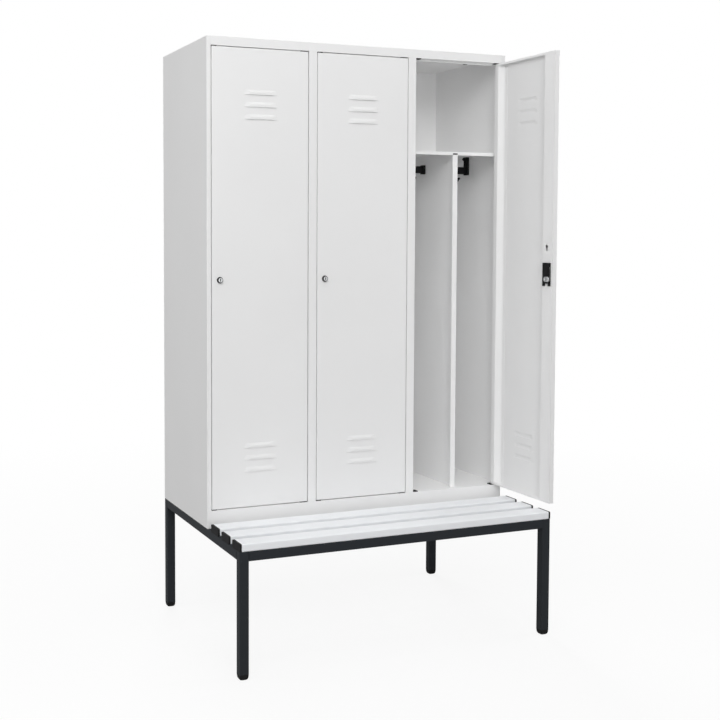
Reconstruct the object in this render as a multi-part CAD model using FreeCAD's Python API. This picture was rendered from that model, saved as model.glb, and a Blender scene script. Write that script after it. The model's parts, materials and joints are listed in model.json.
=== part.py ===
import FreeCAD, Part
import math
import os

# Steel locker with three tall compartments, on a tube frame that carries a slatted bench in front.
# Millimetres. X runs across the doors, Y from the front to the back, Z up from the floor.
# Pieces are drawn with the cabinet's front face at Y = 0 and its middle at X = 0.
# They are moved at the end, so that the origin lies under the middle of the whole.

Vector = FreeCAD.Vector
compartments = ["left", "middle", "right"]
count = len(compartments)

# Sheet metal cabinet
sheet = 1.0
cabinet_depth = 500.0
cabinet_height = 1690.0
stile_width = 15.0
mullion_width = 31.0
top_rail_height = 30.0
bottom_rail_height = 62.0
stop_lip_height = 8.0
stop_lip_relief = 20.0
bottom_flange_width = 28.0
fold_rounding = 1.5

# Hat shelf and centre divider
hat_space = 363.0
shelf_edge = 12.0
shelf_hem = 10.0
shelf_setback = 4.0
shelf_slot_width = 21.0
shelf_slot_height = 6.0
shelf_slot_drop = 1.5
shelf_hem_gap = 1.5
divider_fold_width = 20.0
divider_fold_depth = 10.0

# Doors
door_width = 360.0
door_gap = 3.0
door_thickness = 18.0
stop_clearance = 1.0
lock_strip_width = 57.0
hinge_strip_width = 20.0
hinge_strip_slope = 22.0
hinge_strip_flange = 14.0
hinge_strip_bend = 20.0
door_lip_height = 7.0
open_angle = 91.0

# Louvres pressed out of the door skin
louvre_count = 3
louvre_width = 126.0
louvre_taper = 8.0
louvre_height = 17.0
louvre_depth = 2.6
louvre_ramp = 8.0
louvre_end_ramp = 18.0
louvre_pitch = 42.0
louvre_rounding = 8.0
upper_louvres_below_top = 192.0
lower_louvres_above_bottom = 174.0

# Hinge pins, bushes and buffers
pivot_inset = 6.0
pin_diameter = 6.0
pin_engagement = 12.0
pin_root = 14.0
pin_collar_diameter = 9.0
pin_collar_length = 4.0
pin_clearance = 0.05
bush_diameter = 10.0
bush_depth = 15.0
bush_plate_width = 26.0
bush_plate_rounding = 3.0
buffer_width = 18.0
floor_pad_depth = 24.0
pad_setback = 0.5
gap_clearance = 0.4
hole_clearance = 0.1

# Cam lock
lock_inset = 29.0
lock_body_diameter = 19.0
lock_bezel_diameter = 22.0
lock_bezel_height = 2.5
lock_boss_diameter = 18.5
lock_boss_height = 9.0
lock_rounding = 0.8
lock_body_tail = 2.0
plug_diameter = 15.0
plug_recess = 0.5
keyway_width = 3.4
keyway_length = 10.0
keyway_depth = 12.0
cam_hub_diameter = 18.0
cam_arm_width = 14.0
cam_arm_length = 42.0
cam_thickness = 2.0
cam_clearance = 1.0
cam_screw_diameter = 4.0
cam_screw_head = 8.0
cam_screw_head_height = 1.2
cam_screw_length = 8.0
screw_slot_width = 1.4
case_wall = 1.4
case_width = 38.0
case_above = 57.0
case_below = 25.0
case_depth = 7.0
case_rounding = 2.0
case_window_width = 24.0
case_window_height = 13.0
case_notch_width = 24.0
case_notch_height = 9.0
key_slot_above_lock = 114.0
key_slot_inward = 5.0
key_slot_diameter = 13.0
key_slot_width = 10.0
key_slot_length = 14.0

# Coat rail and sliding hooks
rail_height = 28.0
rail_thickness = 12.0
rail_wall = 2.0
rail_below_shelf = 54.0
rail_ahead_of_middle = 6.0
bracket_width = 24.0
bracket_thickness = 10.0
bracket_margin = 3.5
bracket_rounding = 3.0
barb_reach = 9.0
barb_height = 14.0
hook_width = 14.0
hook_wall = 2.5
hook_clearance = 0.4
hook_wire = 7.0
hook_drop = 16.0
hook_radius = 12.0
hook_turn = 135.0
hook_tip_length = 10.0
hook_ball = 10.0
hook_from_end = 56.0

# Bench frame of square tube
frame_height = 420.0
tube = 32.0
tube_wall = 1.5
tube_rounding = 3.0
bench_projection = 315.0
glide_height = 18.0
glide_draw = 5.0
glide_corner = 4.0
glide_steps = 3
glide_insert = 12.0

# Bench slats
slat_count = 3
slat_width = 70.0
slat_thickness = 26.0
slat_wall = 2.5
slat_pitch = 103.0
slat_rounding = 4.0
slat_cap = 7.0
slat_cap_plug = 10.0

# Screws
screw_diameter = 6.0
screw_head_diameter = 11.0
screw_head_height = 3.5
slat_screw_from_back = 22.0
cabinet_screw_reach = 5.0
cabinet_screw_inset = 60.0

# Places that follow from the sizes above
opening_width = door_width + 2 * door_gap
opening_pitch = opening_width + mullion_width
cabinet_width = 2 * stile_width + count * opening_width + (count - 1) * mullion_width
half_width = cabinet_width / 2
inner_half_width = half_width - sheet
opening_half_width = half_width - stile_width
fold_depth = door_thickness + stop_clearance + sheet
back_face = cabinet_depth - sheet
cabinet_base = frame_height
cabinet_top = cabinet_base + cabinet_height
roof_underside = cabinet_top - sheet
floor_top = cabinet_base + bottom_rail_height
rail_underside = cabinet_top - top_rail_height
door_bottom = floor_top + door_gap
door_top = rail_underside - door_gap
lock_level = (door_bottom + door_top) / 2
shelf_top = roof_underside - hat_space
shelf_underside = shelf_top - sheet
shelf_front = fold_depth + shelf_setback
coat_rail_level = shelf_top - rail_below_shelf
coat_rail_depth = (fold_depth + back_face) / 2 - rail_ahead_of_middle
bench_front = -bench_projection
slat_length = cabinet_width - 2 * slat_cap
cam_back = door_thickness + lock_body_tail + cam_clearance
pad_thickness = door_gap - gap_clearance
rail_pad_depth = fold_depth - sheet - gap_clearance - pad_setback


def box(x0, x1, y0, y1, z0, z1):
    return Part.makeBox(x1 - x0, y1 - y0, z1 - z0, Vector(x0, y0, z0))


def round_bar(diameter, x, y, z0, z1):
    return Part.makeCylinder(diameter / 2, z1 - z0, Vector(x, y, z0))


def lock_bar(diameter, x, y0, y1):
    return Part.makeCylinder(diameter / 2, y1 - y0, Vector(x, y0, lock_level), Vector(0, 1, 0))


def upright(points, z0, z1):
    """Extrude an outline in X and Y from z0 up to z1."""
    corners = [Vector(x, y, z0) for x, y in points]
    face = Part.Face(Part.makePolygon(corners + corners[:1]))
    return face.extrude(Vector(0, 0, z1 - z0))


def faceted(faces):
    """Make a solid from flat faces, each given by its corners."""
    patches = [Part.Face(Part.makePolygon(corners + corners[:1])) for corners in faces]
    return Part.Solid(Part.makeShell(patches))


def rounded_along(shape, direction, radius):
    """Round the straight edges of a shape that run along one direction."""
    edges = [e for e in shape.Edges if e.tangentAt(e.FirstParameter).cross(direction).Length < 1e-6]
    return shape.makeFillet(radius, edges)


def oval(height, thickness, x0, x1):
    """A bar along X with an upright oval section, on the coat rail's axis."""
    straight = (height - thickness) / 2
    middle = box(x0, x1, coat_rail_depth - thickness / 2, coat_rail_depth + thickness / 2,
                 coat_rail_level - straight, coat_rail_level + straight)
    for level in [coat_rail_level - straight, coat_rail_level + straight]:
        end = Part.makeCylinder(thickness / 2, x1 - x0, Vector(x0, coat_rail_depth, level), Vector(1, 0, 0))
        middle = middle.fuse(end)
    return middle.removeSplitter()


def mirrored(shape):
    return shape.mirror(Vector(0, 0, 0), Vector(1, 0, 0))


def opening_left(index):
    return -half_width + stile_width + index * opening_pitch


def opening_middle(index):
    return opening_left(index) + opening_width / 2


def wall_left(index):
    if index == 0:
        return -inner_half_width
    return opening_left(index) - mullion_width / 2 + sheet / 2


def wall_right(index):
    if index == count - 1:
        return inner_half_width
    return opening_left(index) + opening_width + mullion_width / 2 - sheet / 2


def door_left_edge(index):
    return opening_left(index) + door_gap


def pivot_x(index):
    return door_left_edge(index) + door_width - pivot_inset


def lock_x(index):
    return door_left_edge(index) + lock_inset


def cabinet_screw_places():
    x = half_width - tube / 2
    depths = [cabinet_screw_inset, cabinet_depth - tube - cabinet_screw_inset]
    return [(side * x, y) for side in [-1, 1] for y in depths]


def slat_front(index):
    return bench_front + index * slat_pitch


def slat_screw_places():
    x = half_width - tube / 2
    depths = [slat_front(i) + slat_width - slat_screw_from_back for i in range(slat_count)]
    return [(side * x, y) for side in [-1, 1] for y in depths]


def bore(shape, places, diameter, z0, z1):
    for x, y in places:
        shape = shape.cut(round_bar(diameter, x, y, z0, z1))
    return shape


# Cabinet sheet metal
def side_panel():
    """Left side: one sheet folded into the front stile, with a flange on the frame."""
    outside = -half_width
    inside = outside + stile_width
    outline = [(outside, 0), (inside, 0), (inside, fold_depth), (inside - sheet, fold_depth),
               (inside - sheet, sheet), (outside + sheet, sheet), (outside + sheet, cabinet_depth),
               (outside, cabinet_depth)]
    panel = upright(outline, cabinet_base, roof_underside)
    fold = [e for e in panel.Edges if e.BoundBox.XMax < outside + 1e-6 and e.BoundBox.YMax < 1e-6]
    panel = panel.makeFillet(fold_rounding, fold)
    flange = box(outside + sheet, outside + bottom_flange_width, fold_depth, back_face,
                 cabinet_base, cabinet_base + sheet)
    panel = panel.fuse(flange).removeSplitter()
    holes = [place for place in cabinet_screw_places() if place[0] < 0]
    return bore(panel, holes, screw_diameter + 2 * hole_clearance, cabinet_base, cabinet_base + sheet)


def back_panel():
    return box(-inner_half_width, inner_half_width, back_face, cabinet_depth, cabinet_base, roof_underside)


def roof_panel():
    """Roof sheet with the top rail folded down in front, and the stop lip behind each door."""
    roof = box(-half_width, half_width, 0, cabinet_depth, roof_underside, cabinet_top)
    corners = [e for e in roof.Edges if e.BoundBox.YMax < 1e-6 and e.BoundBox.XLength < 1e-6]
    roof = roof.makeFillet(fold_rounding, corners)
    front = box(-opening_half_width, opening_half_width, 0, sheet, rail_underside, roof_underside)
    under = box(-opening_half_width, opening_half_width, 0, fold_depth,
                rail_underside, rail_underside + sheet)
    lips = [box(opening_left(i), pivot_x(i) - stop_lip_relief, fold_depth - sheet, fold_depth,
                rail_underside - stop_lip_height, rail_underside) for i in range(count)]
    roof = roof.fuse([front, under] + lips).removeSplitter()
    pivots = [(pivot_x(i), pivot_inset) for i in range(count)]
    return bore(roof, pivots, bush_diameter + 2 * hole_clearance, rail_underside, rail_underside + sheet)


def floor_panel():
    """Floor sheet folded down in front into the bottom rail, which turns under at its foot."""
    front_strip = box(-opening_half_width, opening_half_width, 0, fold_depth, floor_top - sheet, floor_top)
    plate = box(-inner_half_width, inner_half_width, fold_depth, back_face, floor_top - sheet, floor_top)
    apron = box(-opening_half_width, opening_half_width, 0, sheet, cabinet_base, floor_top)
    foot = box(-opening_half_width, opening_half_width, 0, fold_depth, cabinet_base, cabinet_base + sheet)
    panel = plate.fuse([front_strip, apron, foot]).removeSplitter()
    pivots = [(pivot_x(i), pivot_inset) for i in range(count)]
    return bore(panel, pivots, bush_diameter + 2 * hole_clearance, floor_top - sheet, floor_top)


def partition(index):
    """Upright wall to the right of a compartment, with the box-folded mullion in front."""
    middle = opening_left(index) + opening_width + mullion_width / 2
    half = mullion_width / 2
    post = box(middle - half, middle + half, 0, fold_depth, floor_top, rail_underside)
    hollow = box(middle - half + sheet, middle + half - sheet, sheet, fold_depth - sheet,
                 floor_top, rail_underside)
    web = box(middle - sheet / 2, middle + sheet / 2, fold_depth, back_face, floor_top, roof_underside)
    return post.cut(hollow).fuse(web).removeSplitter()


def hat_shelf(index):
    left = wall_left(index)
    right = wall_right(index)
    plate = box(left, right, shelf_front, back_face, shelf_underside, shelf_top)
    edge = box(left, right, shelf_front, shelf_front + sheet, shelf_top - shelf_edge, shelf_top)
    back = box(left, right, back_face - sheet, back_face, shelf_top - shelf_edge, shelf_top)
    middle = opening_middle(index)
    slot_level = shelf_top - shelf_edge / 2 - shelf_slot_drop
    slot = box(middle - shelf_slot_width / 2, middle + shelf_slot_width / 2, shelf_front,
               shelf_front + sheet, slot_level - shelf_slot_height / 2, slot_level + shelf_slot_height / 2)
    hems = [box(left, middle - shelf_hem_gap, shelf_front, shelf_front + shelf_hem,
                shelf_top - shelf_edge, shelf_top - shelf_edge + sheet),
            box(middle + shelf_hem_gap, right, shelf_front, shelf_front + shelf_hem,
                shelf_top - shelf_edge, shelf_top - shelf_edge + sheet)]
    return plate.fuse([edge, back] + hems).removeSplitter().cut(slot)


def centre_divider(index):
    """Thin wall below the hat shelf, with its front edge folded to a channel."""
    middle = opening_middle(index)
    half = divider_fold_width / 2
    fold_top = shelf_top - shelf_edge
    web = box(middle - sheet / 2, middle + sheet / 2, shelf_front + sheet, back_face - sheet,
              floor_top, shelf_underside)
    face = box(middle - half, middle + half, shelf_front, shelf_front + sheet, floor_top, fold_top)
    lips = [box(x, x + sheet, shelf_front, shelf_front + divider_fold_depth, floor_top, fold_top)
            for x in [middle - half, middle + half - sheet]]
    divider = web.fuse([face] + lips).removeSplitter()
    passage = oval(rail_height + 2 * hole_clearance, rail_thickness + 2 * hole_clearance,
                   middle - sheet, middle + sheet)
    return divider.cut(passage)


# Coat rail with its fittings
def coat_rail(index):
    left = wall_left(index)
    right = wall_right(index)
    inner = oval(rail_height - 2 * rail_wall, rail_thickness - 2 * rail_wall, left, right)
    return oval(rail_height, rail_thickness, left, right).cut(inner)


def rail_block(x0, x1, top):
    half = bracket_width / 2
    block = box(x0, x1, coat_rail_depth - half, coat_rail_depth + half,
                coat_rail_level - rail_height / 2 - bracket_margin, top)
    block = rounded_along(block, Vector(1, 0, 0), bracket_rounding)
    return block.cut(oval(rail_height + 2 * hole_clearance, rail_thickness + 2 * hole_clearance, x0, x1))


def rail_bracket(wall, inward):
    """Bracket on a side wall: it holds the rail's end and reaches up to the shelf, with a snap nose."""
    face = wall + inward * bracket_thickness
    block = rail_block(min(wall, face), max(wall, face), shelf_underside)
    half = bracket_width / 2
    corners = [(face, shelf_underside), (face + inward * barb_reach, shelf_underside - barb_height / 2),
               (face, shelf_underside - barb_height)]
    outline = [Vector(x, coat_rail_depth - half, z) for x, z in corners]
    nose = Part.Face(Part.makePolygon(outline + outline[:1])).extrude(Vector(0, bracket_width, 0))
    ridge = [e for e in nose.Edges if abs(e.CenterOfMass.x - corners[1][0]) < 1e-6]
    nose = nose.makeFillet(bracket_rounding, ridge)
    return block.fuse(nose).removeSplitter()


def rail_brackets():
    pieces = []
    for i in range(count):
        pieces.append(rail_bracket(wall_left(i), 1))
        pieces.append(rail_bracket(wall_right(i), -1))
    return Part.makeCompound(pieces)


def rail_collars():
    pieces = []
    top = coat_rail_level + rail_height / 2 + bracket_margin
    for i in range(count):
        face = opening_middle(i) - sheet / 2
        pieces.append(rail_block(face - bracket_thickness, face, top))
        pieces.append(rail_block(face + sheet, face + sheet + bracket_thickness, top))
    return Part.makeCompound(pieces)


def coat_hook(right_end):
    """Hook whose band slides on the rail, at its place near the right end of one half."""
    middle = right_end - hook_from_end
    x0 = middle - hook_width / 2
    x1 = middle + hook_width / 2
    slack = 2 * hook_clearance
    outer = 2 * (hook_clearance + hook_wall)
    band = oval(rail_height + outer, rail_thickness + outer, x0, x1)
    band = band.cut(oval(rail_height + slack, rail_thickness + slack, x0, x1))
    start = coat_rail_level - rail_height / 2 - hook_clearance - hook_wall / 2
    bend = start - hook_drop
    back = coat_rail_depth
    turn = math.radians(hook_turn)

    def on_bend(angle):
        forward = hook_radius * (1 - math.cos(angle))
        return Vector(middle, back - forward, bend - hook_radius * math.sin(angle))

    end = on_bend(turn)
    tip = end + Vector(0, -math.sin(turn), -math.cos(turn)) * hook_tip_length
    stem = Part.LineSegment(Vector(middle, back, start), Vector(middle, back, bend)).toShape()
    bow = Part.Arc(Vector(middle, back, bend), on_bend(turn / 2), end).toShape()
    rise = Part.LineSegment(end, tip).toShape()
    section = Part.Wire(Part.makeCircle(hook_wire / 2, Vector(middle, back, start), Vector(0, 0, 1)))
    wire = Part.Wire([stem, bow, rise]).makePipeShell([section], True, True)
    hook = band.fuse([wire, Part.makeSphere(hook_ball / 2, tip)])
    hollow = oval(rail_height + slack, rail_thickness + slack, x0, x1)
    return hook.cut(hollow).removeSplitter()


# Doors, drawn closed
def louvre_bead(half_width_below, depth, y_back, z_bottom, z_top):
    """Flat bead with sloping ends and a sloping top edge, open below where it stands off the skin."""
    half_width_above = half_width_below - louvre_taper
    foot = [(-half_width_below, z_bottom), (half_width_below, z_bottom), (half_width_above, z_top),
            (-half_width_above, z_top)]
    crest_below = half_width_below - louvre_end_ramp
    crest_above = half_width_above - louvre_end_ramp
    crest_top = z_top - louvre_ramp
    crest = [(-crest_below, z_bottom), (crest_below, z_bottom), (crest_above, crest_top),
             (-crest_above, crest_top)]
    outlines = []
    for corners, y in [(foot, y_back), (crest, -depth)]:
        points = [Vector(x, y, z) for x, z in corners]
        outlines.append(Part.makePolygon(points + points[:1]))
    return Part.makeLoft(outlines, True, True)


def louvre_levels():
    upper = door_top - upper_louvres_below_top
    lower = door_bottom + lower_louvres_above_bottom
    steps = [(i - (louvre_count - 1) / 2) * louvre_pitch for i in range(louvre_count)]
    return [group + step for group in [upper, lower] for step in steps]


def door_skin(index):
    """Outer sheet with its four edges turned back and the louvres pressed outwards."""
    left = door_left_edge(index)
    right = left + door_width
    pan = box(left, right, 0, door_thickness, door_bottom, door_top)
    pan = pan.makeFillet(fold_rounding, [e for e in pan.Edges if e.BoundBox.YMin < 1e-6])
    inside = box(left + sheet, right - sheet, sheet, door_thickness, door_bottom + sheet, door_top - sheet)
    lip_left = left + sheet + lock_strip_width
    lip_right = right - hinge_strip_width - 3 * sheet
    lips = [box(lip_left, lip_right, door_thickness - sheet, door_thickness, low, low + door_lip_height)
            for low in [door_bottom + sheet, door_top - sheet - door_lip_height]]
    skin = pan.cut(inside).fuse(lips)
    half_height = louvre_height / 2
    hood = louvre_bead(louvre_width / 2, louvre_depth, 0, -half_height, half_height)
    ridges = [e for e in hood.Edges if e.BoundBox.YMax < 1e-6 - louvre_depth
              and e.CenterOfMass.z > sheet - half_height]
    hood = hood.makeFillet(louvre_rounding, ridges)
    vent = louvre_bead(louvre_width / 2 - sheet, louvre_depth - sheet, sheet, -half_height,
                       half_height - sheet)
    middle = left + door_width / 2
    hoods = []
    vents = []
    for level in louvre_levels():
        place = Vector(middle, 0, level)
        hoods.append(hood.translated(place))
        vents.append(vent.translated(place))
    skin = skin.fuse(hoods).removeSplitter().cut(vents)
    skin = skin.cut(lock_bar(lock_body_diameter + 2 * hole_clearance, lock_x(index), 0, sheet))
    pivot = [(pivot_x(index), pivot_inset)]
    skin = bore(skin, pivot, pin_diameter + 2 * hole_clearance, door_bottom, door_bottom + sheet)
    return bore(skin, pivot, pin_diameter + 2 * hole_clearance, door_top - sheet, door_top)


def lock_strip(index):
    """Channel behind the lock edge, with the lock's hole and a key-shaped slot above it."""
    left = door_left_edge(index) + sheet
    right = left + lock_strip_width
    low = door_bottom + sheet
    high = door_top - sheet
    rise = door_thickness - sheet
    outline = [(left, door_thickness), (left, rise), (right - sheet, rise), (right - sheet, sheet),
               (right, sheet), (right, door_thickness)]
    strip = upright(outline, low, high)
    x = lock_x(index)
    behind = door_thickness - sheet
    strip = strip.cut(lock_bar(lock_body_diameter + 2 * hole_clearance, x, behind, door_thickness))
    level = lock_level + key_slot_above_lock
    slot_x = x + key_slot_inward
    eye = lock_bar(key_slot_diameter, slot_x, behind, door_thickness)
    eye.translate(Vector(0, 0, key_slot_above_lock))
    slit = box(slot_x - key_slot_width / 2, slot_x + key_slot_width / 2, behind, door_thickness,
               level - key_slot_length, level)
    return strip.cut([eye, slit])


def hinge_strip(index):
    """Channel behind the hinge edge, whose inner side slopes down and bends out onto the skin."""
    right = door_left_edge(index) + door_width - sheet
    crest = right - hinge_strip_width
    knee = crest - hinge_strip_slope
    foot = knee - hinge_strip_flange
    rise = door_thickness - 2 * sheet
    mitre = sheet * math.tan(math.atan2(rise, hinge_strip_slope) / 2)
    outline = [(right, door_thickness), (crest, door_thickness), (knee, 2 * sheet), (foot, 2 * sheet),
               (foot, sheet), (knee + mitre, sheet), (crest + mitre, door_thickness - sheet),
               (right, door_thickness - sheet)]
    strip = upright(outline, door_bottom + sheet, door_top - sheet)
    for x, radius in [(knee, hinge_strip_bend), (knee + mitre, hinge_strip_bend + sheet)]:
        edge = [e for e in strip.Edges if e.BoundBox.XLength < 1e-6 and e.BoundBox.YLength < 1e-6
                and abs(e.BoundBox.XMin - x) < 1e-4]
        strip = strip.makeFillet(radius, edge)
    return strip


def hinge_pins(index):
    """Pins welded inside the top and bottom edges of a door, on its turning axis."""
    x = pivot_x(index)
    lower = round_bar(pin_diameter, x, pivot_inset, door_bottom - pin_engagement, door_bottom + pin_root)
    lower = lower.fuse(round_bar(pin_collar_diameter, x, pivot_inset, door_bottom + sheet,
                                 door_bottom + sheet + pin_collar_length))
    upper = round_bar(pin_diameter, x, pivot_inset, door_top - pin_root, door_top + pin_engagement)
    upper = upper.fuse(round_bar(pin_collar_diameter, x, pivot_inset, door_top - sheet - pin_collar_length,
                                 door_top - sheet))
    return Part.makeCompound([lower.removeSplitter(), upper.removeSplitter()])


def hinge_bushes():
    """Bushes in the floor and the top rail, which the pins turn in, each with a square plate in the gap."""
    pieces = []
    for i in range(count):
        x = pivot_x(i)
        right = x + pivot_inset
        levels = [(floor_top, floor_top - bush_depth, floor_pad_depth),
                  (rail_underside - pad_thickness, rail_underside, rail_pad_depth)]
        for plate_low, stem_low, depth in levels:
            pad = box(right - bush_plate_width, right, pad_setback, pad_setback + depth,
                      plate_low, plate_low + pad_thickness)
            pad = rounded_along(pad, Vector(0, 0, 1), bush_plate_rounding)
            stem = round_bar(bush_diameter, x, pivot_inset, stem_low, stem_low + bush_depth)
            bush = pad.fuse(stem).removeSplitter()
            span = bush.BoundBox
            pieces.append(bush.cut(round_bar(pin_diameter + 2 * pin_clearance, x, pivot_inset,
                                             span.ZMin, span.ZMax)))
    return Part.makeCompound(pieces)


def door_buffers():
    """Pads in the gap above and below the lock edge of each door."""
    pieces = []
    for i in range(count):
        left = door_left_edge(i)
        levels = [(floor_top, floor_pad_depth), (rail_underside - pad_thickness, rail_pad_depth)]
        for level, depth in levels:
            pieces.append(box(left, left + buffer_width, pad_setback, pad_setback + depth,
                              level, level + pad_thickness))
    return Part.makeCompound(pieces)


# Cam lock in a closed door
def lock_body(index):
    """Fixed barrel through the door, with a ring on the skin and a boss that stands out of it."""
    x = lock_x(index)
    tail = door_thickness + lock_body_tail
    ring = lock_bar(lock_bezel_diameter, x, -lock_bezel_height, 0)
    boss = lock_bar(lock_boss_diameter, x, -lock_boss_height, 0)
    rounded = []
    for shape in [ring, boss]:
        rim = [e for e in shape.Edges if e.BoundBox.YMax < shape.BoundBox.YMin + 1e-3]
        rounded.append(shape.makeFillet(lock_rounding, rim))
    barrel = lock_bar(lock_body_diameter, x, 0, tail)
    hollow = lock_bar(plug_diameter + 2 * pin_clearance, x, -lock_boss_height, tail)
    return barrel.fuse(rounded).removeSplitter().cut(hollow)


def lock_plug(index):
    """Turning plug with an upright keyway, threaded behind for the cam screw."""
    x = lock_x(index)
    face = plug_recess - lock_boss_height
    plug = lock_bar(plug_diameter, x, face, cam_back)
    keyway = box(x - keyway_width / 2, x + keyway_width / 2, face, face + keyway_depth,
                 lock_level - keyway_length / 2, lock_level + keyway_length / 2)
    thread = lock_bar(cam_screw_diameter, x, cam_back - cam_screw_length, cam_back)
    return plug.cut([keyway, thread])


def lock_cam(index):
    """Flat cam with its arm upright in the unlocked position."""
    x = lock_x(index)
    front = cam_back + cam_thickness
    hub = lock_bar(cam_hub_diameter, x, cam_back, front)
    half = cam_arm_width / 2
    arm = box(x - half, x + half, cam_back, front, lock_level, lock_level + cam_arm_length)
    hole = lock_bar(cam_screw_diameter + 2 * hole_clearance, x, cam_back, front)
    return hub.fuse(arm).removeSplitter().cut(hole)


def cam_screw(index):
    x = lock_x(index)
    seat = cam_back + cam_thickness
    shank = lock_bar(cam_screw_diameter, x, cam_back - cam_screw_length, seat)
    head = lock_bar(cam_screw_head, x, seat, seat + cam_screw_head_height)
    half = cam_screw_head / 2
    slot = box(x - half, x + half, seat + cam_screw_head_height / 2, seat + cam_screw_head_height,
               lock_level - screw_slot_width / 2, lock_level + screw_slot_width / 2)
    return shank.fuse(head).removeSplitter().cut(slot)


def lock_case(index):
    """Cover over the cam on the door's inner side, open towards the lock edge where the arm swings out."""
    x = lock_x(index)
    half = case_width / 2
    low = lock_level - case_below
    high = lock_level + case_above
    front = door_thickness + case_depth
    case = box(x - half, x + half, door_thickness, front, low, high)
    case = rounded_along(case, Vector(0, 1, 0), case_rounding)
    hollow = box(x - half + case_wall, x + half - case_wall, door_thickness, front - case_wall,
                 low + case_notch_height + case_wall, high - case_wall)
    window = box(x - case_window_width / 2, x + case_window_width / 2, front - case_wall, front,
                 lock_level - case_window_height / 2, lock_level + case_window_height / 2)
    window = rounded_along(window, Vector(0, 1, 0), case_window_height / 2 - cam_clearance)
    notch = box(x - case_notch_width / 2, x + case_notch_width / 2, door_thickness, front,
                low, low + case_notch_height)
    swing = box(x - half, x - half + case_wall, cam_back - cam_clearance / 2,
                cam_back + cam_thickness + cam_clearance / 2,
                lock_level - cam_arm_width / 2 - cam_clearance, lock_level + cam_arm_length + cam_clearance)
    return case.cut([hollow, window, notch, swing])


# Bench frame
def square_tube(x0, x1, y0, y1, z0, z1, direction):
    """Rounded square tube whose hollow runs right through along one direction."""
    wall = Vector(tube_wall, tube_wall, tube_wall)
    inset = wall - direction * tube_wall
    body = rounded_along(box(x0, x1, y0, y1, z0, z1), direction, tube_rounding)
    hollow = box(x0 + inset.x, x1 - inset.x, y0 + inset.y, y1 - inset.y, z0 + inset.z, z1 - inset.z)
    return body.cut(rounded_along(hollow, direction, tube_rounding - tube_wall))


def leg_corner(side, y):
    return min(side * half_width, side * (half_width - tube)), y


def leg(side, y):
    """Upright tube with its top welded shut, open below for the glide."""
    x, y = leg_corner(side, y)
    body = rounded_along(box(x, x + tube, y, y + tube, glide_height, frame_height), Vector(0, 0, 1),
                         tube_rounding)
    hollow = box(x + tube_wall, x + tube - tube_wall, y + tube_wall, y + tube - tube_wall,
                 glide_height, frame_height - tube_wall)
    return body.cut(rounded_along(hollow, Vector(0, 0, 1), tube_rounding - tube_wall))


def leg_pair(y):
    return Part.makeCompound([leg(side, y) for side in [-1, 1]])


def cross_rail(y):
    reach = half_width - tube
    return square_tube(-reach, reach, y, y + tube, frame_height - tube, frame_height, Vector(1, 0, 0))


def side_rails():
    pieces = []
    low = frame_height - tube
    for side in [-1, 1]:
        x = leg_corner(side, 0)[0]
        rail = square_tube(x, x + tube, bench_front + tube, cabinet_depth - tube, low, frame_height,
                           Vector(0, 1, 0))
        places = [p for p in slat_screw_places() + cabinet_screw_places() if p[0] * side > 0]
        pieces.append(bore(rail, places, screw_diameter + 2 * hole_clearance, low, frame_height))
    return Part.makeCompound(pieces)


def rounded_square(x, y, z, half, radius):
    """Outline of a square with round corners, lying flat."""
    inner = half - radius
    diagonal = radius * math.sqrt(0.5)
    edges = []
    for turn in range(4):
        start = Vector(half, -inner, 0)
        end = Vector(half, inner, 0)
        middle = Vector(inner + diagonal, inner + diagonal, 0)
        corner = Vector(inner, half, 0)
        for edge in [Part.LineSegment(start, end).toShape(), Part.Arc(end, middle, corner).toShape()]:
            edge.rotate(Vector(0, 0, 0), Vector(0, 0, 1), 90 * turn)
            edges.append(edge)
    return Part.Wire(edges).translated(Vector(x, y, z))


def glide_base(x, y):
    """Domed foot: its sides draw in along a quarter of an ellipse towards the floor."""
    outlines = []
    for step in range(glide_steps + 1):
        angle = math.pi / 2 * step / glide_steps
        inward = 1 - math.cos(angle)
        outlines.append(rounded_square(x, y, glide_height * (1 - math.sin(angle)),
                                       tube / 2 - glide_draw * inward, tube_rounding + glide_corner * inward))
    return Part.makeLoft(outlines, True, False)


def foot_glides():
    pieces = []
    for y in [bench_front, cabinet_depth - tube]:
        for side in [-1, 1]:
            x = leg_corner(side, y)[0]
            base = glide_base(x + tube / 2, y + tube / 2)
            margin = tube_wall + hole_clearance
            insert = box(x + margin, x + tube - margin, y + margin, y + tube - margin,
                         glide_height, glide_height + glide_insert)
            insert = rounded_along(insert, Vector(0, 0, 1), tube_rounding - tube_wall)
            pieces.append(base.fuse(insert).removeSplitter())
    return Part.makeCompound(pieces)


# Bench slats
def slat_profile(x0, x1, y, inset):
    bar = box(x0, x1, y + inset, y + slat_width - inset, frame_height + inset,
              frame_height + slat_thickness - inset)
    return rounded_along(bar, Vector(1, 0, 0), slat_rounding - inset)


def seat_slat(index):
    half = slat_length / 2
    y = slat_front(index)
    slat = slat_profile(-half, half, y, 0).cut(slat_profile(-half, half, y, slat_wall))
    places = [p for p in slat_screw_places() if y < p[1] < y + slat_width]
    return bore(slat, places, screw_diameter + 2 * hole_clearance, frame_height, frame_height + slat_wall)


def slat_end_caps():
    pieces = []
    half = slat_length / 2
    for i in range(slat_count):
        y = slat_front(i)
        cap = slat_profile(half, half + slat_cap, y, 0)
        plug = slat_profile(half - slat_cap_plug, half, y, slat_wall + hole_clearance)
        cap = cap.fuse(plug).removeSplitter()
        pieces += [mirrored(cap), cap]
    return Part.makeCompound(pieces)


# Screws from below through the side rails
def frame_screws(places, reach):
    pieces = []
    seat = frame_height - tube
    for x, y in places:
        head = round_bar(screw_head_diameter, x, y, seat - screw_head_height, seat)
        shank = round_bar(screw_diameter, x, y, seat, frame_height + reach)
        pieces.append(head.fuse(shank).removeSplitter())
    return Part.makeCompound(pieces)


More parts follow.
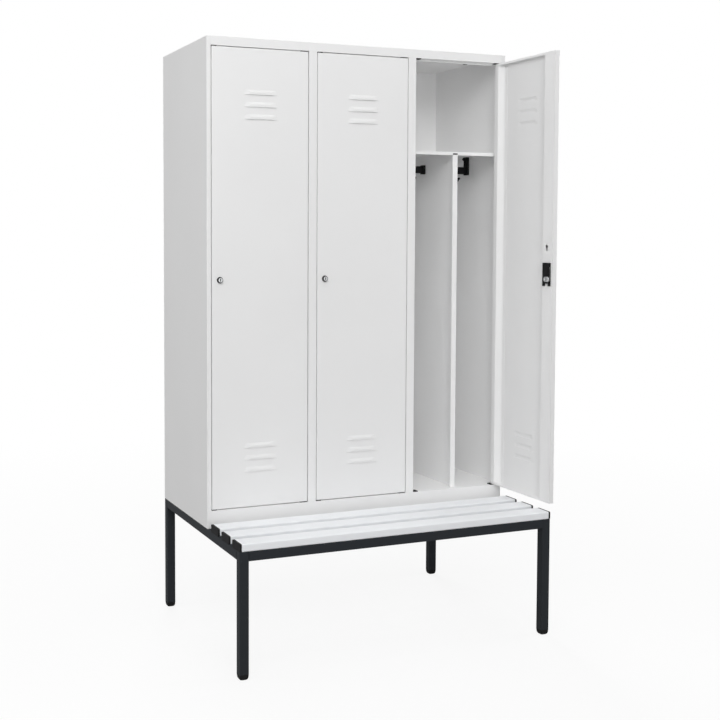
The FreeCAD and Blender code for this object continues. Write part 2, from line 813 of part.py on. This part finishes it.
def swung(shape, index):
    """The right door stands open: turn what rides on it about its hinge axis."""
    if index == count - 1:
        shape.rotate(Vector(pivot_x(index), pivot_inset, 0), Vector(0, 0, 1), open_angle)
    return shape


def all_nodes():
    left_side = side_panel()
    nodes = {"side_panel_left": left_side, "side_panel_right": mirrored(left_side),
             "back_panel": back_panel(), "roof_panel": roof_panel(), "floor_panel": floor_panel(),
             "partition_left": partition(0), "partition_right": partition(1)}
    nodes["coat_rails"] = Part.makeCompound([coat_rail(i) for i in range(count)])
    nodes["rail_brackets"] = rail_brackets()
    nodes["rail_collars"] = rail_collars()
    nodes["hinge_bushes"] = hinge_bushes()
    nodes["door_buffers"] = door_buffers()
    for i, name in enumerate(compartments):
        nodes["hat_shelf_" + name] = hat_shelf(i)
        nodes["centre_divider_" + name] = centre_divider(i)
        nodes["coat_hook_" + name + "_1"] = coat_hook(opening_middle(i) - sheet / 2)
        nodes["coat_hook_" + name + "_2"] = coat_hook(wall_right(i))
        stiffeners = Part.makeCompound([lock_strip(i), hinge_strip(i)])
        nodes["door_skin_" + name] = swung(door_skin(i), i)
        nodes["door_stiffeners_" + name] = swung(stiffeners, i)
        nodes["hinge_pins_" + name] = swung(hinge_pins(i), i)
        nodes["lock_body_" + name] = swung(lock_body(i), i)
        nodes["lock_plug_" + name] = swung(lock_plug(i), i)
        nodes["lock_cam_" + name] = swung(lock_cam(i), i)
        nodes["cam_screw_" + name] = swung(cam_screw(i), i)
        nodes["lock_case_" + name] = swung(lock_case(i), i)
    nodes["front_legs"] = leg_pair(bench_front)
    nodes["rear_legs"] = leg_pair(cabinet_depth - tube)
    nodes["front_rail"] = cross_rail(bench_front)
    nodes["rear_rail"] = cross_rail(cabinet_depth - tube)
    nodes["side_rails"] = side_rails()
    nodes["foot_glides"] = foot_glides()
    for i, name in enumerate(["front", "middle", "rear"]):
        nodes["seat_slat_" + name] = seat_slat(i)
    nodes["slat_end_caps"] = slat_end_caps()
    nodes["slat_screws"] = frame_screws(slat_screw_places(), slat_wall)
    nodes["cabinet_screws"] = frame_screws(cabinet_screw_places(), cabinet_screw_reach)
    return nodes


def main():
    os.makedirs("parts", exist_ok=True)
    nodes = all_nodes()
    front = min(shape.BoundBox.YMin for shape in nodes.values())
    shift = Vector(0, -(front + cabinet_depth) / 2, 0)
    for name, shape in nodes.items():
        shape.translated(shift).exportStep("parts/" + name + ".step")
    print("nodes", len(nodes), "cabinet front at Y", round(shift.y, 3))


main()
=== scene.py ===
import bpy
import json
import math
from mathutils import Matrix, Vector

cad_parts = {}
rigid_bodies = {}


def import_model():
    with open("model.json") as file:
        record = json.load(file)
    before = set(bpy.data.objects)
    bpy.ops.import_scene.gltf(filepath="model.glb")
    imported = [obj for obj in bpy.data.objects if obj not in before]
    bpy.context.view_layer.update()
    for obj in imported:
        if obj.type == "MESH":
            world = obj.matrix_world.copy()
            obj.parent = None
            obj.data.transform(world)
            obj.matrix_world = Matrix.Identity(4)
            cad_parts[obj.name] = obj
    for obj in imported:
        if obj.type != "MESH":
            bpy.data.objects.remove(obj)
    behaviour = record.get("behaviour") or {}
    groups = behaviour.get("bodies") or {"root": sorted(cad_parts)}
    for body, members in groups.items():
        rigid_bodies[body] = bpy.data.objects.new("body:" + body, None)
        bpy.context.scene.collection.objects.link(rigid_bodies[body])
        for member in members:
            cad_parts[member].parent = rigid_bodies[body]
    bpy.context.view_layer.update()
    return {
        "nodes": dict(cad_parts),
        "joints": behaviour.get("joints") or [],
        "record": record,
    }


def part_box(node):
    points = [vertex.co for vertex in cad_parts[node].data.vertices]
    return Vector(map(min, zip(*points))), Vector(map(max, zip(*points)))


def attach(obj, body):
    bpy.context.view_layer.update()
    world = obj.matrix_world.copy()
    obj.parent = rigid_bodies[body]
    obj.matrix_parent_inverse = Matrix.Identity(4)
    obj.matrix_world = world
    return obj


# Looks of a steel locker with a slatted bench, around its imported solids.
# Metres, +Z up, front towards -Y.
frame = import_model()

compartments = ["left", "middle", "right"]
lock_joints = [joint for joint in frame["joints"] if joint["name"].startswith("lock_")]
front_face = -0.075922
sheet = 0.001

# Camera where the photograph was taken: left of the middle, a little above the locks
image_size = 720
camera_place = (-1.8664, -3.7256, 1.4322)
camera_pitch = -3.0
camera_yaw = 21.30
focal_pixels = 1130.0
principal_x = 248.2
principal_y = 295.3
sensor_width = 36.0

# Colours as linear red, green and blue
cabinet_grey = (0.89, 0.89, 0.89)
anthracite = (0.027, 0.0302, 0.0345)
slat_grey = (0.885, 0.90, 0.92)
plastic_black = (0.018, 0.018, 0.0187)
lock_black = (0.008, 0.008, 0.0085)
zinc = (0.60, 0.61, 0.62)
white = (1, 1, 1, 1)

# Part of a noise's range that is spread over a finish, and the quality of its soft edges
noise_low = 0.3
noise_high = 0.7
edge_samples = 4

# Lamps: place, side of the square and power
soft_boxes = {
    "key": ((-3.2, -3.4, 4.4), 2.5, 51.0),
    "front_high": ((-1.8, -5.0, 3.8), 2.5, 123.0),
    "front_low": ((-1.0, -6.5, 0.9), 2.5, 46.0),
    "ceiling": ((-0.3, -2.0, 8.5), 4.0, 122.0),
    "left": ((-5.0, 0.5, 2.8), 2.5, 48.0),
    "right": ((5.0, -0.6, 2.8), 2.5, 60.0),
    "rear": ((0.8, 6.0, 4.8), 3.0, 220.0),
}
light_aim = (0, 0, 1.1)
ambient_level = 0.18
bounces = 12

# Floor: matt under a share of plain white, which grows to all of it across the fade, and darker
# for the light that it throws back at the object
floor_reach = 40.0
floor_matt = 0.9
floor_white = 0.86
floor_fade = (1.6, 4.0)
floor_bounce = 0.4

# New pieces: the turn at which an edge stays sharp, and the steps of a round corner
sharp_angle = math.radians(40)
loop_steps = 8

# Steel plate around the window of each lock case
door_back = 0.025
plate_size = (0.030, 0.0184)
plate_window = (0.012, 0.0096)
plate_shift = (0.0038, -0.0012)
plate_rise = 0.0016
plate_steps = 8
plate_corner_share = 0.48

# Plug in the hole under the roof of each compartment
plug_radius = 0.0095
plug_wall = 0.0004
plug_shoulder = 0.0007
plug_shoulder_share = 0.96
plug_dome = 0.0008
plug_dome_share = 0.86
plug_dome_step = 15
plug_from_wall = 0.026
plug_behind_front = 0.236

# Black tablet in the slot of each shelf's front edge, which is painted shade for the shadowed gap
# there, and the shutter in each keyway
slot_shade_size = (0.0206, 0.0040, 0.0008)
slot_shade_below_shelf = 0.0075
slot_shade_set_in = 0.0241
shutter_size = (0.0033, 0.0099, 0.0010)
shutter_ahead_of_door = 0.0083
tablet_corner_share = 0.3
tablet_edge_share = 0.35
tablet_edge_middle = 0.3


class Shader:
    """A material's node tree, with short calls for the nodes that the finishes share."""

    def __init__(self, name):
        self.material = bpy.data.materials.new(name)
        self.material.use_nodes = True
        self.tree = self.material.node_tree
        self.tree.nodes.clear()
        self.output = self.add("ShaderNodeOutputMaterial")
        self.place = self.add("ShaderNodeTexCoord").outputs["Object"]

    def add(self, kind, **settings):
        node = self.tree.nodes.new(kind)
        for key, value in settings.items():
            setattr(node, key, value)
        return node

    def join(self, source, target):
        self.tree.links.new(source, target)

    def noise(self, scale, detail, stretch=(1, 1, 1)):
        mapping = self.add("ShaderNodeMapping")
        mapping.inputs["Scale"].default_value = stretch
        self.join(self.place, mapping.inputs["Vector"])
        noise = self.add("ShaderNodeTexNoise")
        noise.inputs["Scale"].default_value = scale
        noise.inputs["Detail"].default_value = detail
        self.join(mapping.outputs["Vector"], noise.inputs["Vector"])
        return noise.outputs["Fac"]

    def spread(self, source, low, high):
        """Map the middle of a noise to a range of values."""
        node = self.add("ShaderNodeMapRange")
        node.inputs["From Min"].default_value = noise_low
        node.inputs["From Max"].default_value = noise_high
        node.inputs["To Min"].default_value = low
        node.inputs["To Max"].default_value = high
        self.join(source, node.inputs["Value"])
        return node.outputs["Result"]

    def tint(self, source, colour, change):
        """A colour that a noise makes a little darker and lighter."""
        ramp = self.add("ShaderNodeValToRGB")
        darker, lighter = ramp.color_ramp.elements
        darker.position = noise_low
        lighter.position = noise_high
        darker.color = [c * (1 - change) for c in colour] + [1]
        lighter.color = [c * (1 + change) for c in colour] + [1]
        self.join(source, ramp.inputs["Fac"])
        return ramp.outputs["Color"]

    def relief(self, source, strength, height, edge_radius):
        """Bump over a normal that rounds the edges by a small radius."""
        edge = self.add("ShaderNodeBevel", samples=edge_samples)
        edge.inputs["Radius"].default_value = edge_radius
        bump = self.add("ShaderNodeBump")
        bump.inputs["Strength"].default_value = strength
        bump.inputs["Distance"].default_value = height
        self.join(source, bump.inputs["Height"])
        self.join(edge.outputs["Normal"], bump.inputs["Normal"])
        return bump.outputs["Normal"]

    def surface(self, colour, roughness, normal, metallic=0.0, specular=0.5):
        shader = self.add("ShaderNodeBsdfPrincipled")
        shader.inputs["Metallic"].default_value = metallic
        shader.inputs["Specular IOR Level"].default_value = specular
        self.join(colour, shader.inputs["Base Color"])
        self.join(roughness, shader.inputs["Roughness"])
        self.join(normal, shader.inputs["Normal"])
        self.join(shader.outputs["BSDF"], self.output.inputs["Surface"])
        return self.material


def powder_coat(name, colour, specular, roughness):
    """Baked powder paint: faint clouds in the colour, and the fine skin of the melted grains."""
    shader = Shader(name)
    clouds = shader.noise(scale=2.2, detail=4.0)
    grain = shader.noise(scale=650.0, detail=3.0)
    peel = shader.noise(scale=170.0, detail=1.0)
    return shader.surface(
        shader.tint(clouds, colour, change=0.012),
        shader.spread(grain, *roughness),
        shader.relief(peel, strength=0.10, height=0.0003, edge_radius=0.0014),
        specular=specular)


def extruded_plastic(name, colour):
    """Extruded profile: streaks drawn along its length."""
    shader = Shader(name)
    streaks = shader.noise(scale=1.0, detail=3.0, stretch=(1.5, 420, 420))
    clouds = shader.noise(scale=6.0, detail=3.0, stretch=(0.4, 1, 1))
    return shader.surface(
        shader.tint(clouds, colour, change=0.012),
        shader.spread(streaks, low=0.5, high=0.62),
        shader.relief(streaks, strength=0.12, height=0.0002, edge_radius=0.0006),
        specular=0.3)


def moulded_plastic(name, colour):
    """Black moulding with the spark-eroded grain of its tool."""
    shader = Shader(name)
    grain = shader.noise(scale=900.0, detail=2.0)
    clouds = shader.noise(scale=30.0, detail=3.0)
    return shader.surface(
        shader.tint(clouds, colour, change=0.15),
        shader.spread(grain, low=0.5, high=0.66),
        shader.relief(grain, strength=0.2, height=0.0001, edge_radius=0.0006),
        specular=0.03)


def coated_casting(name, colour):
    """Black coated die casting with a fine grain."""
    shader = Shader(name)
    grain = shader.noise(scale=1200.0, detail=2.0)
    return shader.surface(
        shader.tint(grain, colour, change=0.2),
        shader.spread(grain, low=0.28, high=0.4),
        shader.relief(grain, strength=0.15, height=0.0001, edge_radius=0.0004),
        specular=0.25)


def plated_steel(name, colour):
    """Zinc plate with fine drawn lines."""
    shader = Shader(name)
    lines = shader.noise(scale=1.0, detail=4.0, stretch=(300, 300, 2600))
    clouds = shader.noise(scale=120.0, detail=3.0)
    return shader.surface(
        shader.tint(clouds, colour, change=0.08),
        shader.spread(lines, low=0.34, high=0.5),
        shader.relief(lines, strength=0.15, height=0.00005, edge_radius=0.0003),
        metallic=1.0)


def dress_nodes():
    """Make the finishes, one for each material slot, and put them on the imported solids."""
    finishes = {
        "cabinet_paint": powder_coat("cabinet_paint", cabinet_grey,
                                     specular=0.35, roughness=(0.4, 0.52)),
        "frame_paint": powder_coat("frame_paint", anthracite,
                                   specular=0.06, roughness=(0.56, 0.7)),
        "slat_plastic": extruded_plastic("slat_plastic", slat_grey),
        "black_plastic": moulded_plastic("black_plastic", plastic_black),
        "lock_black": coated_casting("lock_black", lock_black),
        "plain_steel": plated_steel("plain_steel", zinc),
    }
    for row in frame["record"]["subparts"]:
        node = frame["nodes"][row["node"]]
        node.data.materials.clear()
        node.data.materials.append(finishes[row["material_slot"]])
        level = node.modifiers.new("flat_faces", "WEIGHTED_NORMAL")
        level.weight = 100
        level.keep_sharp = True
    return finishes


def new_piece(name, points, faces, body, slot, finishes):
    mesh = bpy.data.meshes.new(name)
    mesh.from_pydata(points, [], faces)
    mesh.materials.append(finishes[slot])
    mesh.shade_smooth()
    mesh.set_sharp_from_angle(angle=sharp_angle)
    piece = bpy.data.objects.new(name, mesh)
    bpy.context.scene.collection.objects.link(piece)
    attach(piece, body)


def band_faces(rows, length, closed):
    """Faces between rows of points, each row a closed loop of the same length."""
    faces = []
    for row in range(rows if closed else rows - 1):
        this = row * length
        after = (row + 1) % rows * length
        for i in range(length):
            j = (i + 1) % length
            faces.append((this + i, this + j, after + j, after + i))
    return faces


def capped_faces(rows, length):
    """Faces between rows of points, and over the last and the first row."""
    total = rows * length
    faces = band_faces(rows, length, closed=False)
    faces.append(tuple(range(total - length, total)))
    faces.append(tuple(reversed(range(length))))
    return faces


def rounded_loop(width, height, radius):
    """Rectangle with round corners, as points across and up, anticlockwise."""
    points = []
    for corner, (sx, sy) in enumerate([(1, 1), (-1, 1), (-1, -1), (1, -1)]):
        for step in range(loop_steps + 1):
            angle = math.radians(90) * (corner + step / loop_steps)
            points.append((sx * (width / 2 - radius) + radius * math.cos(angle),
                           sy * (height / 2 - radius) + radius * math.sin(angle)))
    return points


def lock_side(joint):
    """The compartment that a lock's joint belongs to."""
    return joint["name"].replace("lock_", "").replace("_turn", "")


def make_case_plates(finishes):
    """Oblong domed steel ring round the window that shows the end of the lock's cam."""
    rows = []
    for step in range(plate_steps + 1):
        share = step / plate_steps
        size = [outer + (inner - outer) * share for outer, inner in zip(plate_size, plate_window)]
        shift = [s * (1 - share) for s in plate_shift]
        rows.append((size, shift, plate_rise * math.sqrt(1 - (2 * share - 1) ** 2)))
    up = Vector((0, 0, 1))
    for joint in lock_joints:
        inward = -Vector(joint["axis"])
        across = up.cross(inward)
        start = Vector(joint["pos_m"]) + door_back * inward
        points = []
        for (width, height), (right, higher), rise in rows:
            for x, y in rounded_loop(width, height, plate_corner_share * height):
                points.append(start + (x + right) * across + (y + higher) * up + rise * inward)
        faces = band_faces(len(rows), len(points) // len(rows), closed=True)
        new_piece("case_plate_" + lock_side(joint), points, faces, joint["parent"],
                  "plain_steel", finishes)


def make_roof_plugs(finishes):
    """Blind plugs in the holes of the roof, domed towards the compartment."""
    profile = [(plug_radius, 0.0), (plug_radius, plug_wall),
               (plug_shoulder_share * plug_radius, plug_shoulder)]
    for degrees in range(0, 90, plug_dome_step):
        angle = math.radians(degrees)
        profile.append((plug_radius * plug_dome_share * math.cos(angle),
                        plug_shoulder + plug_dome * math.sin(angle)))
    length = 4 * loop_steps
    for side in compartments:
        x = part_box("hat_shelf_" + side)[1].x - plug_from_wall
        y = front_face + plug_behind_front
        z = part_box("roof_panel")[1].z - sheet
        points = []
        for radius, drop in profile:
            for i in range(length):
                angle = 2 * math.pi * i / length
                points.append((x + radius * math.cos(angle), y - radius * math.sin(angle),
                               z - drop))
        new_piece("roof_plug_" + side, points, capped_faces(len(profile), length), "cabinet",
                  "black_plastic", finishes)


def tablet(start, across, up, out, width, height, thickness):
    """Points and faces of a small plate with round corners and a rounded front edge."""
    radius = tablet_corner_share * min(width, height)
    edge = tablet_edge_share * thickness
    middle = tablet_edge_middle * edge
    rows = [(0, 0), (0, thickness - edge), (-middle, thickness - middle), (-edge, thickness)]
    points = []
    for growth, rise in rows:
        for x, y in rounded_loop(width + 2 * growth, height + 2 * growth, radius + growth):
            points.append(start + x * across + y * up + rise * out)
    return points, capped_faces(len(rows), len(points) // len(rows))


def make_small_mouldings(finishes):
    """Black tablets in the slots of the shelves, which are painted shade that darkens the gap
    there, and the dust shutters of the keyways.
    """
    right = Vector((1, 0, 0))
    forward = Vector((0, -1, 0))
    up = Vector((0, 0, 1))
    # Painted shade: a black tablet set into each shelf slot stands for the shadow in the gap
    for side in compartments:
        low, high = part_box("hat_shelf_" + side)
        start = Vector(((low.x + high.x) / 2, front_face + slot_shade_set_in + slot_shade_size[2],
                           high.z - slot_shade_below_shelf))
        points, faces = tablet(start, right, up, forward, *slot_shade_size)
        new_piece("shelf_clip_" + side, points, faces, "cabinet", "black_plastic", finishes)
    for joint in lock_joints:
        out = Vector(joint["axis"])
        start = Vector(joint["pos_m"]) + (shutter_ahead_of_door - shutter_size[2]) * out
        points, faces = tablet(start, up.cross(out), up, out, *shutter_size)
        new_piece("key_shutter_" + lock_side(joint), points, faces, joint["child"],
                  "black_plastic", finishes)


def seen_directly(tree):
    """One for rays from the camera and for those that mirror or pass on the surroundings,
    else zero."""
    path = tree.nodes.new("ShaderNodeLightPath")
    result = path.outputs["Is Camera Ray"]
    for kind in ["Is Glossy Ray", "Is Transmission Ray"]:
        either = tree.nodes.new("ShaderNodeMath")
        either.operation = "MAXIMUM"
        tree.links.new(result, either.inputs[0])
        tree.links.new(path.outputs[kind], either.inputs[1])
        result = either.outputs["Value"]
    return result


def make_world():
    """Even light from all round, which the camera and mirrored rays see as white."""
    world = bpy.data.worlds.new("studio")
    world.use_nodes = True
    tree = world.node_tree
    tree.nodes.clear()
    light = tree.nodes.new("ShaderNodeBackground")
    light.inputs["Strength"].default_value = ambient_level
    backdrop = tree.nodes.new("ShaderNodeBackground")
    for background in [light, backdrop]:
        background.inputs["Color"].default_value = white
    mix = tree.nodes.new("ShaderNodeMixShader")
    output = tree.nodes.new("ShaderNodeOutputWorld")
    tree.links.new(seen_directly(tree), mix.inputs["Fac"])
    tree.links.new(light.outputs["Background"], mix.inputs[1])
    tree.links.new(backdrop.outputs["Background"], mix.inputs[2])
    tree.links.new(mix.outputs["Shader"], output.inputs["Surface"])
    bpy.context.scene.world = world


def make_floor():
    """White studio floor that still takes a soft shadow."""
    mesh = bpy.data.meshes.new("floor")
    corners = [(-floor_reach, -floor_reach, 0), (floor_reach, -floor_reach, 0),
               (floor_reach, floor_reach, 0), (-floor_reach, floor_reach, 0)]
    mesh.from_pydata(corners, [], [(0, 1, 2, 3)])
    floor = bpy.data.objects.new("floor", mesh)
    bpy.context.scene.collection.objects.link(floor)
    material = bpy.data.materials.new("studio_floor")
    material.use_nodes = True
    tree = material.node_tree
    tree.nodes.clear()
    matt = tree.nodes.new("ShaderNodeBsdfDiffuse")
    matt.inputs["Color"].default_value = (floor_matt, floor_matt, floor_matt, 1)
    bounce = tree.nodes.new("ShaderNodeBsdfDiffuse")
    bounce.inputs["Color"].default_value = (floor_bounce, floor_bounce, floor_bounce, 1)
    glow = tree.nodes.new("ShaderNodeEmission")
    place = tree.nodes.new("ShaderNodeTexCoord")
    distance = tree.nodes.new("ShaderNodeVectorMath")
    distance.operation = "LENGTH"
    fade = tree.nodes.new("ShaderNodeMapRange")
    fade.inputs["From Min"].default_value = floor_fade[0]
    fade.inputs["From Max"].default_value = floor_fade[1]
    fade.inputs["To Min"].default_value = floor_white
    fade.inputs["To Max"].default_value = 1.0
    direct = tree.nodes.new("ShaderNodeMixShader")
    mix = tree.nodes.new("ShaderNodeMixShader")
    output = tree.nodes.new("ShaderNodeOutputMaterial")
    tree.links.new(place.outputs["Object"], distance.inputs[0])
    tree.links.new(distance.outputs["Value"], fade.inputs["Value"])
    tree.links.new(fade.outputs["Result"], direct.inputs["Fac"])
    tree.links.new(matt.outputs["BSDF"], direct.inputs[1])
    tree.links.new(glow.outputs["Emission"], direct.inputs[2])
    tree.links.new(seen_directly(tree), mix.inputs["Fac"])
    tree.links.new(bounce.outputs["BSDF"], mix.inputs[1])
    tree.links.new(direct.outputs["Shader"], mix.inputs[2])
    tree.links.new(mix.outputs["Shader"], output.inputs["Surface"])
    mesh.materials.append(material)


def make_lights():
    """Large soft boxes, and enough bounces for the light inside the white compartments."""
    for name, (place, size, level) in soft_boxes.items():
        light = bpy.data.lights.new(name, "AREA")
        light.shape = "SQUARE"
        light.size = size
        light.energy = level
        box = bpy.data.objects.new(name, light)
        bpy.context.scene.collection.objects.link(box)
        box.location = place
        aim = box.location - Vector(light_aim)
        box.rotation_euler = aim.to_track_quat("Z", "Y").to_euler()
    bpy.context.scene.cycles.diffuse_bounces = bounces


def make_camera():
    lens = bpy.data.cameras.new("camera")
    lens.sensor_width = sensor_width
    lens.lens = focal_pixels / image_size * sensor_width
    lens.shift_x = 0.5 - principal_x / image_size
    lens.shift_y = principal_y / image_size - 0.5
    camera = bpy.data.objects.new("camera", lens)
    bpy.context.scene.collection.objects.link(camera)
    camera.location = camera_place
    camera.rotation_euler = (math.radians(90 + camera_pitch), 0, -math.radians(camera_yaw))
    bpy.context.scene.camera = camera


finishes = dress_nodes()
make_case_plates(finishes)
make_roof_plugs(finishes)
make_small_mouldings(finishes)
make_world()
make_floor()
make_lights()
make_camera()
bpy.context.scene.view_settings.view_transform = "Standard"
